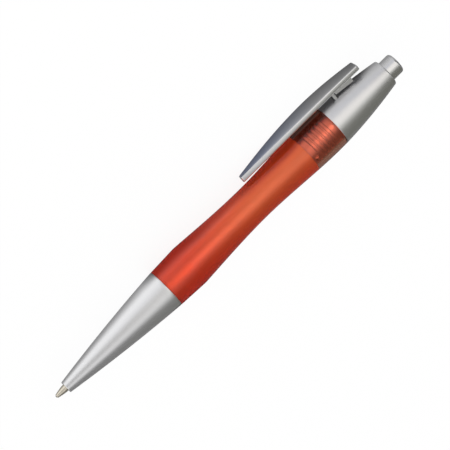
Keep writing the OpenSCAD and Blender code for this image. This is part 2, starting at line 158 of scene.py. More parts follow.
class PenCapSettings(bpy.types.PropertyGroup):
    top_r: length("Top radius", 4.42, "Radius of the cap at its top edge")
    bow: length("Bow", 0.38, "How far the cap's outline bows out of a straight line")
    top_round: length("Top rounding", 0.4, "Rounding of the cap's top edge")
    button_gap: length("Button gap", 0.08, "Gap between the cap's hole and the button")
    lip_len: length("Lip length", 2.0, "Length of the guide round the button")
    tenon_r: length("Tenon radius", 5.2, "Radius over the thread that screws into the barrel")
    thread_pitch: length("Thread pitch", 1.55, "Distance from one turn of the thread to the next")
    thread_depth: length("Thread depth", 0.5, "Height of the thread")
    thread_crest: share("Thread crest", 0.42, "Width of the thread's crest, as a part of its pitch")
    thread_root: share("Thread root", 0.86, "Width of the thread's root, as a part of its pitch")
    lead_in: length("Thread start", 0.6, "Distance from the tenon's end to the thread")
    run_out: length("Thread end", 0.3, "Least distance from the thread to the seam")
    rim_round: length("Rim rounding", 0.16, "Rounding of the rim at the seam")
    hole_round: length("Hole rounding", 0.05, "Rounding of the hole that the button comes through")
    tenon_round: length("Tenon rounding", 0.1, "Rounding of the tenon's end")
    paint: colour("Paint", (0.86, 0.86, 0.87), "Silver lacquer of the cap")


class PenClipSettings(bpy.types.PropertyGroup):
    start: length("Start", 82.6, "Distance from the ball to the clip's lower tip")
    run: length("Length", 47.4, "Length of the clip")
    wide_at: length("Widest place", 28.0, "Distance from the lower tip to the widest place")
    width: length("Width", 7.6, "Width at the widest place")
    tip_w: length("Tip width", 1.9, "Width at the lower tip")
    top_w: length("Top width", 4.5, "Width at the top end")
    peak_h: length("Height", 10.7, "Height of the face over the pen's axis at the widest place")
    tip_h: length("Tip height", 9.0, "Height of the face at the lower tip")
    top_h: length("Top height", 9.45, "Height of the face at the top end")
    crown: length("Crown", 0.42, "Fall of the face from its middle to its edge")
    edge: length("Edge", 1.65, "Thickness of the clip's edge")
    tip_edge: length("Tip edge", 1.9, "Thickness of the edge at the lower tip")
    corner: length("Corners", 0.5, "Rounding of the leaf's four corners, as seen on its face")
    under_round: length("Underside rounding", 0.5, "Rounding of the long edges of the underside")
    rounding: length("Rounding", 0.28, "Rounding of the face's edge")
    draft: length("Draft", 0.2, "How much narrower the face is than the leaf, on each side")
    top_draft: length("Draft at the top end", 0.04, "The same at the end by the button")
    foot_back: length("Foot place", 11.05, "Distance from the top end to the middle of the foot")
    foot_t: length("Foot thickness", 0.9, "Thickness of the foot along the pen")
    foot_w: length("Foot width", 4.2, "Width of the foot")
    foot_root: length("Foot root", 1.85, "Depth of the foot's root in the cap")
    foot_gap: length("Foot gap", 0.14, "Gap round the foot in its slot")
    foot_round: length("Foot rounding", 0.1, "Rounding of the foot's edges")
    rib_from: length("Rib place", 0.8, "Distance from the middle of the foot to the stop rib")
    rib_len: length("Rib length", 6.6, "Length of the stop rib")
    rib_w: length("Rib width", 3.6, "Width of the stop rib")
    rib_gap_low: length("Low gap", 0.65, "Gap between the rib and the cap near the foot")
    rib_gap_top: length("Top gap", 0.5, "Gap between the rib and the cap at the far end")
    rib_round: length("Rib rounding", 0.12, "Rounding of the stop rib's edges")
    paint: colour("Paint", (0.86, 0.86, 0.87), "Silver lacquer of the clip")


class PenButtonSettings(bpy.types.PropertyGroup):
    radius: length("Radius", 3.32, "Radius of the button")
    rounding: length("Rounding", 0.8, "Rounding of the button's end")
    flange_len: length("Flange", 1.4, "Thickness of the flange inside the cap")
    flange_round: length("Flange rounding", 0.08, "Rounding of the flange's edges")
    hole_r: length("Hole radius", 1.83, "Radius of the hole for the plunger's stem")
    end_wall: length("End wall", 2.8, "Thickness of the button's end")
    paint: colour("Paint", (0.86, 0.86, 0.87), "Silver lacquer of the button")


class PenPointSettings(bpy.types.PropertyGroup):
    edge_r: length("Edge radius", 0.56, "Radius of the point's front edge, round the ball")
    edge_round: length("Edge rounding", 0.04, "Rounding of the point's front edge")
    shank_r: length("Shank radius", 1.15, "Radius of the point's shank")
    cone_len: length("Cone length", 3.2, "Length of the point's cone")
    cone_bow: length("Cone bow", 0.06, "How far the cone bows out of a straight line")
    tail_len: length("Tail length", 5.0, "Length of the point's tail inside the tube")
    tail_r: length("Tail radius", 0.97, "Radius of the point's tail")
    tail_round: length("Tail rounding", 0.1, "Rounding of the tail's end")
    ball_out: length("Ball", 0.25, "How far the ball stands out of the point")
    tube_r: length("Shoulder radius", 1.5, "Radius of the point's shoulder and of the refill's tube")
    shoulder: length("Shoulder", 0.4, "Length of the point's shoulder in front of the tube")
    shoulder_round: length("Shoulder rounding", 0.05, "Rounding of the shoulder's edges")
    duct_r: length("Duct radius", 0.35, "Radius of the duct that brings the ink to the ball")
    metal: colour("Metal", (0.80, 0.74, 0.62), "Plated metal of the point")


class PenStageSettings(bpy.types.PropertyGroup):
    distance: FloatProperty(
        name="Distance", description="Distance from the camera to the pen's middle",
        default=1.016, unit="LENGTH",
    )
    focal: FloatProperty(name="Focal length", description="Focal length of the camera in mm", default=278.7)
    aim_along: length("Aim along", 0.2, "How far behind the pen's middle the camera looks")
    aim_up: length("Aim up", 1.17, "How far over the pen's axis the camera looks, in the picture")
    roll: FloatProperty(
        name="Roll", description="Angle at which the pen climbs in the picture",
        default=math.radians(44.57), subtype="ANGLE",
    )
    tilt: FloatProperty(
        name="Tilt", description="How far the camera stands towards the point's end",
        default=math.radians(6.0), subtype="ANGLE",
    )
    elevation: FloatProperty(
        name="Elevation", description="How steeply the camera looks down",
        default=math.radians(45), subtype="ANGLE",
    )
    lamp_power: FloatProperty(name="Lamp", description="Power of the soft lamp", default=0.75, unit="POWER")
    world_level: share("Room", 0.93, "Brightness of the light from all around")
    shadow: share("Shadow", 0.1, "How much of the pen's shadow the floor keeps")


SETTINGS = {
    "pen_nose": PenNoseSettings,
    "pen_barrel": PenBarrelSettings,
    "pen_cap": PenCapSettings,
    "pen_clip": PenClipSettings,
    "pen_button": PenButtonSettings,
    "pen_point": PenPointSettings,
    "pen_stage": PenStageSettings,
}


def bowed(a, b, bow, t):
    """A straight run from a to b that bows out in its middle."""
    return a + (b - a) * t + 4 * bow * t * (1 - t)


def eased(a, b, t):
    """A run from a to b that starts and ends level."""
    return a + (b - a) * t * t * (3 - 2 * t)


def spread(count):
    """Even steps from 0 to 1, both included."""
    return [i / count for i in range(count + 1)]


def run(start, end, count, radius):
    """Corners between two places along the pen, neither included, with the radius at each place."""
    places = [start + (end - start) * t for t in spread(count)[1:-1]]
    return [(x, radius(x), 0) for x in places]


def rounded(corners):
    """The outline through corners of (x, radius, rounding), with an arc at each rounded corner."""
    outline = []
    for i, (x, r, rounding) in enumerate(corners):
        here = Vector((x, r))
        if rounding == 0:
            outline.append(here)
            continue
        before = (Vector(corners[i - 1][:2]) - here).normalized()
        after = (Vector(corners[(i + 1) % len(corners)][:2]) - here).normalized()
        half = before.angle(after) / 2
        middle = here + (before + after).normalized() * rounding / math.sin(half)
        start = here + before * rounding / math.tan(half)
        end = here + after * rounding / math.tan(half)
        for t in spread(ARC_STEPS):
            spoke = (start - middle).normalized().slerp((end - middle).normalized(), t)
            outline.append(middle + spoke * rounding)
    return outline


def deselect():
    """Nothing is selected, so that an operator acts on the new piece alone."""
    if bpy.context.object and bpy.context.object.mode != "OBJECT":
        bpy.ops.object.mode_set(mode="OBJECT")
    bpy.ops.object.select_all(action="DESELECT")


def pick(obj, indices):
    """Selects the vertices with these indices in edit mode."""
    mesh = bmesh.from_edit_mesh(obj.data)
    mesh.verts.index_update()
    for vert in mesh.verts:
        vert.select = vert.index in indices
    mesh.select_flush_mode()
    bmesh.update_edit_mesh(obj.data)


def pick_where(obj, test):
    """Selects the vertices whose place passes a test, in edit mode."""
    mesh = bmesh.from_edit_mesh(obj.data)
    mesh.verts.index_update()
    pick(obj, {vert.index for vert in mesh.verts if test(vert.co)})


def close_up(smooth_deg=SMOOTH_DEG):
    """Merges the doubles of the piece in edit mode, turns its faces outwards and leaves it smooth."""
    bpy.ops.mesh.select_all(action="SELECT")
    bpy.ops.mesh.remove_doubles(threshold=WELD)
    bpy.ops.mesh.normals_make_consistent(inside=False)
    bpy.ops.object.mode_set(mode="OBJECT")
    bpy.ops.object.shade_smooth_by_angle(angle=math.radians(smooth_deg))


def settle(obj):
    """Puts the piece's place into its mesh, with its object at the origin."""
    deselect()
    obj.select_set(True)
    bpy.context.view_layer.objects.active = obj
    bpy.ops.object.transform_apply(location=True, rotation=True, scale=True)


def turned(name, outline):
    """Turns (x, radius) points about the pen's axis: a point is extruded along them, then spun."""
    deselect()
    bpy.ops.mesh.primitive_plane_add(size=MM)
    obj = bpy.context.object
    obj.name = obj.data.name = name
    bpy.ops.object.mode_set(mode="EDIT")
    bpy.ops.mesh.select_all(action="SELECT")
    bpy.ops.mesh.merge(type="CENTER")
    last = Vector((outline[0][0], AXIS.y, AXIS.z + outline[0][1]))
    bpy.ops.transform.translate(value=last)
    for x, r in outline[1:]:
        point = Vector((x, AXIS.y, AXIS.z + r))
        bpy.ops.mesh.extrude_region_move(TRANSFORM_OT_translate={"value": point - last})
        last = point
    bpy.ops.mesh.select_all(action="SELECT")
    bpy.ops.mesh.spin(steps=SPIN_STEPS, angle=2 * math.pi, center=(0, AXIS.y, AXIS.z), axis=(1, 0, 0))
    close_up()
    return obj


def boxed(name, low, high):
    """A block between two corners."""
    deselect()
    bpy.ops.mesh.primitive_cube_add(size=1, location=(Vector(low) + Vector(high)) / 2)
    obj = bpy.context.object
    obj.name = obj.data.name = name
    obj.scale = Vector(high) - Vector(low)
    settle(obj)
    return obj


def soften(obj, width):
    """Rounds every edge of a blocky piece."""
    bevel = obj.modifiers.new("Rounding", "BEVEL")
    bevel.width = width
    bevel.segments = 3
    bevel.limit_method = "ANGLE"
    bpy.context.view_layer.objects.active = obj
    bpy.ops.object.modifier_apply(modifier=bevel.name)


def finish_piece(obj, body, slot, node, *materials):
    """Gives a new piece its materials and its body, and hides the solid that it stands for; the slot is not
    used.
    """
    obj.data.materials.clear()
    for material in materials:
        obj.data.materials.append(material)
    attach(obj, body)
    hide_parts(node)


def dress(node, material):
    """Gives a solid of the frame its finish."""
    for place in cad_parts[node].material_slots:
        place.material = material


def add_node(tree, kind, **inputs):
    """A shader node, with numbers or colours set on its inputs by name."""
    node = tree.nodes.new(kind)
    for key, value in inputs.items():
        node.inputs[key.replace("_", " ")].default_value = value
    return node


def calc(tree, operation, *values):
    """A math node on two values, each a socket or a plain number."""
    node = tree.nodes.new("ShaderNodeMath")
    node.operation = operation
    for socket, value in zip(node.inputs, values):
        if isinstance(value, float):
            socket.default_value = value
        else:
            tree.links.new(value, socket)
    return node.outputs[0]


def on_object(tree, kind, **inputs):
    """A texture that lies on the piece's own coordinates."""
    texture = add_node(tree, kind, **inputs)
    place = tree.nodes.new("ShaderNodeTexCoord")
    tree.links.new(place.outputs["Object"], texture.inputs[0])
    return texture


def fade(tree, value, low, high):
    """0 where the value is low or less, rising evenly to 1 where it is high or more."""
    rise = add_node(tree, "ShaderNodeMapRange", From_Min=low, From_Max=high)
    tree.links.new(value, rise.inputs["Value"])
    return rise.outputs[0]


def blended(tree, part, first, second):
    """Two colours, each a socket or a plain colour, mixed by a part from 0 to 1."""
    mix = tree.nodes.new("ShaderNodeMixRGB")
    tree.links.new(part, mix.inputs["Fac"])
    for key, value in (("Color1", first), ("Color2", second)):
        if isinstance(value, tuple):
            mix.inputs[key].default_value = value
        else:
            tree.links.new(value, mix.inputs[key])
    return mix.outputs["Color"]


def new_group(name, inputs, outputs):
    """An empty shader node group with its sockets."""
    tree = bpy.data.node_groups.new(name, "ShaderNodeTree")
    kinds = {"value": "NodeSocketFloat", "colour": "NodeSocketColor", "vector": "NodeSocketVector"}
    for key, (kind, default) in inputs.items():
        socket = tree.interface.new_socket(name=key, in_out="INPUT", socket_type=kinds[kind])
        socket.default_value = default
    for key, kind in outputs.items():
        tree.interface.new_socket(name=key, in_out="OUTPUT", socket_type=kinds[kind])
    return tree, tree.nodes.new("NodeGroupInput").outputs, tree.nodes.new("NodeGroupOutput").inputs


def varied(tree, source, amount):
    """A pattern from 0 to 1 as a small plus or minus, as strong as the amount says."""
    return calc(tree, "MULTIPLY", calc(tree, "SUBTRACT", source, 0.5), amount)


def shaded(tree, colour_socket, change):
    """A colour made lighter or darker by a small plus or minus."""
    tint = tree.nodes.new("ShaderNodeVectorMath")
    tint.operation = "SCALE"
    tree.links.new(colour_socket, tint.inputs[0])
    tree.links.new(calc(tree, "ADD", change, 1.0), tint.inputs["Scale"])
    return tint.outputs["Vector"]


def relief(tree, strength, height):
    """The normal of a surface with a fine relief."""
    bump = add_node(tree, "ShaderNodeBump", Distance=RELIEF)
    tree.links.new(strength, bump.inputs["Strength"])
    tree.links.new(height, bump.inputs["Height"])
    return bump.outputs["Normal"]


def flake_group():
    """Metal flake in lacquer: the colour sparkles a little, the gloss varies, the coat has a fine peel."""
    tree, inlet, outlet = new_group(
        "lacquer_flake",
        {
            "Colour": ("colour", (0.8, 0.8, 0.8, 1.0)),
            "Flake": ("value", 0.1),
            "Cloud": ("value", 0.04),
            "Gloss": ("value", 0.3),
            "Peel": ("value", 0.1),
        },
        {"Colour": "colour", "Roughness": "value", "Normal": "vector"},
    )
    cells = on_object(tree, "ShaderNodeTexVoronoi", Scale=7000.0)
    cloud = on_object(tree, "ShaderNodeTexNoise", Scale=180.0, Detail=3.0)
    peel = on_object(tree, "ShaderNodeTexNoise", Scale=900.0, Detail=2.0)
    sparkle = add_node(tree, "ShaderNodeSeparateColor")
    tree.links.new(cells.outputs["Color"], sparkle.inputs["Color"])
    flake = varied(tree, sparkle.outputs["Red"], inlet["Flake"])
    total = calc(tree, "ADD", flake, varied(tree, cloud.outputs["Fac"], inlet["Cloud"]))
    tree.links.new(shaded(tree, inlet["Colour"], total), outlet["Colour"])
    tree.links.new(calc(tree, "ADD", inlet["Gloss"], total), outlet["Roughness"])
    tree.links.new(relief(tree, inlet["Peel"], peel.outputs["Fac"]), outlet["Normal"])
    return tree


def rings_group():
    """Fine rings left by a lathe, square to the pen's axis."""
    tree, inlet, outlet = new_group(
        "turned_rings",
        {"Rings": ("value", 6000.0), "Depth": ("value", 0.3), "Gloss": ("value", 0.2)},
        {"Roughness": "value", "Normal": "vector"},
    )
    wave = on_object(tree, "ShaderNodeTexWave", Distortion=1.5, Detail=2.0)
    wave.bands_direction = "X"
    tree.links.new(inlet["Rings"], wave.inputs["Scale"])
    tree.links.new(relief(tree, inlet["Depth"], wave.outputs["Fac"]), outlet["Normal"])
    soft = calc(tree, "MULTIPLY", wave.outputs["Fac"], 0.12)
    tree.links.new(calc(tree, "ADD", soft, inlet["Gloss"]), outlet["Roughness"])
    return tree


def skin_group():
    """Skin of a moulding: the colour clouds a little, and the surface has a fine matt grain."""
    tree, inlet, outlet = new_group(
        "moulded_skin",
        {
            "Colour": ("colour", (0.8, 0.8, 0.8, 1.0)),
            "Cloud": ("value", 0.1),
            "Gloss": ("value", 0.4),
            "Grain": ("value", 0.2),
        },
        {"Colour": "colour", "Roughness": "value", "Normal": "vector"},
    )
    cloud = on_object(tree, "ShaderNodeTexNoise", Scale=120.0, Detail=4.0)
    grain = on_object(tree, "ShaderNodeTexNoise", Scale=2500.0, Detail=3.0)
    change = varied(tree, cloud.outputs["Fac"], inlet["Cloud"])
    tree.links.new(shaded(tree, inlet["Colour"], change), outlet["Colour"])
    tree.links.new(calc(tree, "ADD", inlet["Gloss"], change), outlet["Roughness"])
    tree.links.new(relief(tree, inlet["Grain"], grain.outputs["Fac"]), outlet["Normal"])
    return tree


def shared_group(name, maker):
    """The named effect, built the first time that a material asks for it."""
    return bpy.data.node_groups.get(name) or maker()


def new_material(name, effect, effect_inputs, **shader_inputs):
    """A material whose shader takes what it can from a shared effect, and the rest as plain numbers."""
    material = bpy.data.materials.new(name)
    material.use_nodes = True
    tree = material.node_tree
    shader = tree.nodes["Principled BSDF"]
    for key, value in shader_inputs.items():
        shader.inputs[key.replace("_", " ")].default_value = value
    group = tree.nodes.new("ShaderNodeGroup")
    group.node_tree = effect
    group.location = (-300, 0)
    for key, value in effect_inputs.items():
        group.inputs[key].default_value = value
    for key, target in (("Colour", "Base Color"), ("Roughness", "Roughness"), ("Normal", "Normal")):
        if key in group.outputs:
            tree.links.new(group.outputs[key], shader.inputs[target])
    return material


def silver_lacquer(name, paint, gloss=0.34):
    """Satin silver lacquer with fine metal flake."""
    return new_material(
        name,
        shared_group("lacquer_flake", flake_group),
        {"Colour": (*paint, 1.0), "Flake": 0.04, "Cloud": 0.03, "Gloss": gloss, "Peel": 0.06},
        Metallic=1.0,
    )


def clear_red(plastic):
    """Polished clear red plastic."""
    return new_material(
        "clear_red_plastic",
        shared_group("moulded_skin", skin_group),
        {"Colour": (*plastic, 1.0), "Cloud": 0.03, "Gloss": 0.09, "Grain": 0.03},
        Transmission_Weight=1.0,
        IOR=1.49,
    )


def matt_bore(s):
    """Frosted wall of the bore, seen through the plastic: redder where the wall is thick or seen aslant."""
    material = new_material(
        "frosted_bore",
        shared_group("moulded_skin", skin_group),
        {"Cloud": 0.06, "Gloss": 0.34, "Grain": 0.1},
        Metallic=0.55,
    )
    tree = material.node_tree
    split = on_object(tree, "ShaderNodeSeparateXYZ")
    along = fade(tree, split.outputs["X"], FRONT_X + s.bulge_at, FRONT_X + s.waist_at)
    wall = blended(tree, along, (*s.frost_thick, 1.0), (*s.frost_thin, 1.0))
    slant = add_node(tree, "ShaderNodeLayerWeight", Blend=0.85)
    deeper = blended(tree, slant.outputs["Facing"], wall, (*s.frost_aslant, 1.0))
    deeper.node.blend_type = "MULTIPLY"
    group = next(node for node in tree.nodes if node.type == "GROUP")
    tree.links.new(deeper, group.inputs["Colour"])
    return material


def natural_plastic(name, tint, gloss=0.42):
    """Uncoloured moulded plastic."""
    return new_material(
        name,
        shared_group("moulded_skin", skin_group),
        {"Colour": (*tint, 1.0), "Cloud": 0.1, "Gloss": gloss, "Grain": 0.2},
    )


def turned_metal(name, tint, gloss, rings=6000.0, depth=0.3):
    """Turned metal, with the lathe's fine rings."""
    return new_material(
        name,
        shared_group("turned_rings", rings_group),
        {"Rings": rings, "Depth": depth, "Gloss": gloss},
        Base_Color=(*tint, 1.0),
        Metallic=1.0,
    )


class PEN_OT_nose(bpy.types.Operator):
    """Models the nose cone with its spigot"""

    bl_idname = "pen.nose"
    bl_label = "Nose cone"

    def execute(self, context):
        s = context.scene.pen_nose
        inner_r = s.spigot_r - s.spigot_wall

        def cone_r(x):
            return bowed(s.tip_r, FRONT_R, s.bow, (x - NOSE_X) / (FRONT_X - NOSE_X))

        outline = rounded(
            [
                (NOSE_X, s.hole_r, s.rim_round / 2),
                (NOSE_X, s.tip_r, s.rim_round),
                *run(NOSE_X, FRONT_X, NOSE_STEPS, cone_r),
                (FRONT_X, FRONT_R, s.seam_round),
                (FRONT_X, s.spigot_r, 0),
                (SPIGOT_X - s.chamfer, s.spigot_r, 0),
                (SPIGOT_X, s.spigot_r - s.chamfer, 0),
                (SPIGOT_X, inner_r, 0),
                (FRONT_X, inner_r, 0),
                (TIP_X + s.chamber_end, s.chamber_r, 0),
                (TIP_X + s.seat_at, s.chamber_r, 0),
                (TIP_X + s.seat_at, s.throat_r, 0),
                (TIP_X + s.guide_end, s.throat_r, 0),
                (TIP_X + s.guide_end, s.hole_r, 0),
            ]
        )
        nose = turned("nose_shell", [*outline, outline[0]])
        paint = silver_lacquer("silver_nose_lacquer", s.paint)
        finish_piece(nose, "casing", "silver_nose", "nose_cone", paint)
        return {"FINISHED"}


def barrel_r(s, x):
    """Radius of the barrel's outside at a place along the pen."""
    bulge = FRONT_X + s.bulge_at
    rise = (BULGE_R - FRONT_R) / (s.bulge_at - s.bulge_round / 2)
    behind = bulge + s.bulge_round
    behind_r = BULGE_R - s.bulge_fall * s.bulge_round / 2
    waist = FRONT_X + s.waist_at
    shoulder = REAR_X - s.shoulder_back
    if x < bulge - s.bulge_round:
        return FRONT_R + rise * (x - FRONT_X)
    if x < behind:
        return BULGE_R - (rise if x < bulge else s.bulge_fall) * (x - bulge) ** 2 / (2 * s.bulge_round)
    if x < waist:
        t = (x - behind) / (waist - behind)
        return eased(behind_r, s.waist_r, t) - s.bulge_fall * (waist - behind) * t * (1 - t) ** 2
    if x < shoulder:
        return eased(s.waist_r, BULGE_R, (x - waist) / (shoulder - waist))
    return BULGE_R + (REAR_R - BULGE_R) * (x - shoulder) / (REAR_X - shoulder)


class PEN_OT_barrel(bpy.types.Operator):
    """Models the clear barrel as a wall with a polished outside and a frosted bore"""

    bl_idname = "pen.barrel"
    bl_label = "Barrel"

    def execute(self, context):
        s = context.scene.pen_barrel
        bore_from = SPIGOT_X + s.joint_run
        bore_to = TENON_X - s.tenon_run
        outline = rounded(
            [
                (FRONT_X, s.joint_r, 0),
                (FRONT_X, FRONT_R, s.rim_round),
                *run(FRONT_X, REAR_X, BARREL_STEPS, lambda x: barrel_r(s, x)),
                (REAR_X, REAR_R, s.rim_round),
                (REAR_X, s.joint_r, 0),
                (bore_to, s.joint_r, 0),
                (bore_to - s.rear_taper, s.bore_r, 0),
                (bore_from + s.front_taper, s.bore_r, 0),
                (bore_from, s.joint_r, 0),
            ]
        )
        barrel = turned("barrel_tube", [*outline, outline[0]])
        finish_piece(barrel, "casing", "red_barrel", "barrel", clear_red(s.plastic), matt_bore(s))
        for face in barrel.data.polygons:
            reach = (Vector(face.center) - AXIS).yz.length
            frosted = face.center.x < bore_to and reach < s.joint_r
            face.material_index = int(frosted)
        return {"FINISHED"}


def cap_r(s, x):
    """Radius of the cap's outside at a place along the pen."""
    return bowed(REAR_R, s.top_r, s.bow, (x - REAR_X) / (CAP_X - REAR_X))


def clip_turn():
    """Turns what stands over the pen, along +Z of its axis, to the side where the clip lies."""
    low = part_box("clip")[0]
    s = bpy.context.scene.pen_clip
    edge_h = s.peak_h - s.crown
    lean = math.atan2(s.width / 2, edge_h)
    # The pen lies on the edge of its clip, at the clip's widest place
    down = math.asin((AXIS.z - low.z) / math.hypot(edge_h, s.width / 2)) - lean
    return Matrix.Translation((0, AXIS.y, AXIS.z)) @ Matrix.Rotation(-math.pi / 2 - down, 4, "X")


class PEN_OT_cap(bpy.types.Operator):
    """Models the upper cap, its slot for the clip's foot and the threaded tenon"""

    bl_idname = "pen.cap"
    bl_label = "Upper cap"

    def execute(self, context):
        s = context.scene.pen_cap
        button = context.scene.pen_button
        clip = context.scene.pen_clip
        core_r = s.tenon_r - s.thread_depth
        hole_r = button.radius + s.button_gap
        flange_r = FLANGE_R + s.button_gap
        sleeve_r = SLEEVE_R + s.button_gap / 2
        outline = rounded(
            [
                (REAR_X, core_r, 0),
                (REAR_X, REAR_R, s.rim_round),
                *run(REAR_X, CAP_X, CAP_STEPS, lambda x: cap_r(s, x)),
                (CAP_X, s.top_r, s.top_round),
                (CAP_X, hole_r, s.hole_round),
                (CAP_X - s.lip_len, hole_r, 0),
                (CAP_X - s.lip_len, flange_r, 0),
                (SLEEVE_HIGH.x, flange_r, 0),
                (SLEEVE_HIGH.x, sleeve_r, 0),
                (TENON_X, sleeve_r, 0),
                (TENON_X, core_r, s.tenon_round),
            ]
        )
        shell = turned("cap_shell", [*outline, outline[0]])
        paint = silver_lacquer("silver_cap_lacquer", s.paint)
        self.cut_slot(shell, s, clip)
        finish_piece(shell, "casing", "silver_cap", "upper_cap", paint)
        thread = self.thread(s, core_r)
        finish_piece(thread, "casing", "silver_cap", "upper_cap", paint)
        return {"FINISHED"}

    def cut_slot(self, shell, s, clip):
        """Cuts the slot that the clip's foot stands in."""
        foot_x = TIP_X + clip.start + clip.run - clip.foot_back
        half_t, half_w = clip.foot_t / 2 + clip.foot_gap, clip.foot_w / 2 + clip.foot_gap
        seat = cap_r(s, foot_x) - clip.foot_root - clip.foot_gap
        cutter = boxed("slot_cutter", (foot_x - half_t, -half_w, seat), (foot_x + half_t, half_w, REAR_R))
        cutter.data.transform(clip_turn())
        slot = shell.modifiers.new("Slot", "BOOLEAN")
        slot.operation = "DIFFERENCE"
        slot.object = cutter
        bpy.context.view_layer.objects.active = shell
        bpy.ops.object.modifier_apply(modifier=slot.name)
        bpy.data.objects.remove(cutter)
        deselect()
        shell.select_set(True)
        bpy.ops.object.shade_smooth_by_angle(angle=math.radians(SMOOTH_DEG))

    def thread(self, s, core_r):
        """The thread's ridge: one flat-topped section wound round the tenon."""
        deselect()
        # The section's foot is sunk a little into the tenon, so that no gap shows
        root, sunk = s.thread_pitch * s.thread_root, 0.03 * MM
        turns = int((REAR_X - TENON_X - s.lead_in - s.run_out - root) / s.thread_pitch)
        bpy.ops.mesh.primitive_plane_add(size=1)
        obj = bpy.context.object
        obj.name = obj.data.name = "tenon_thread"
        bpy.ops.object.mode_set(mode="EDIT")
        bpy.ops.mesh.select_all(action="SELECT")
        bpy.ops.mesh.delete(type="ONLY_FACE")
        bpy.ops.mesh.select_all(action="SELECT")
        bpy.ops.transform.rotate(value=math.pi / 2, orient_axis="X", center_override=(0, 0, 0))
        bpy.ops.transform.resize(value=(root, 1, s.thread_depth + sunk), center_override=(0, 0, 0))
        pick_where(obj, lambda co: co.z > 0)
        bpy.ops.transform.resize(value=(s.thread_crest / s.thread_root, 1, 1), center_override=(0, 0, 0))
        bpy.ops.mesh.select_all(action="SELECT")
        bpy.ops.transform.translate(value=(0, 0, core_r + (s.thread_depth - sunk) / 2))
        bpy.ops.object.mode_set(mode="OBJECT")
        obj.location = (TENON_X + s.lead_in + root / 2, AXIS.y, AXIS.z)
        screw = obj.modifiers.new("Winding", "SCREW")
        screw.axis = "X"
        screw.angle = 2 * math.pi
        screw.screw_offset = s.thread_pitch
        screw.iterations = turns
        screw.steps = screw.render_steps = SPIN_STEPS // 2
        bpy.ops.object.modifier_apply(modifier=screw.name)
        settle(obj)
        bpy.ops.object.mode_set(mode="EDIT")
        bpy.ops.mesh.select_all(action="SELECT")
        bpy.ops.mesh.remove_doubles(threshold=WELD)
        bpy.ops.mesh.fill_holes(sides=0)
        close_up(smooth_deg=30)
        return obj


def leafed(s, d, at_tip, widest, at_top):
    """A value of the clip that rises along a quarter of a sine wave from each end to the widest place."""
    low, t = (at_tip, d / s.wide_at) if d < s.wide_at else (at_top, (s.run - d) / (s.run - s.wide_at))
    return low + (widest - low) * math.sin(math.pi / 2 * t)


def corner_cut(r, d):
    """How far a corner rounded by r lies inside the straight side, at a distance from the very end."""
    return 0.0 if d >= r else r - math.sqrt(max(0.0, r * r - (r - d) ** 2))


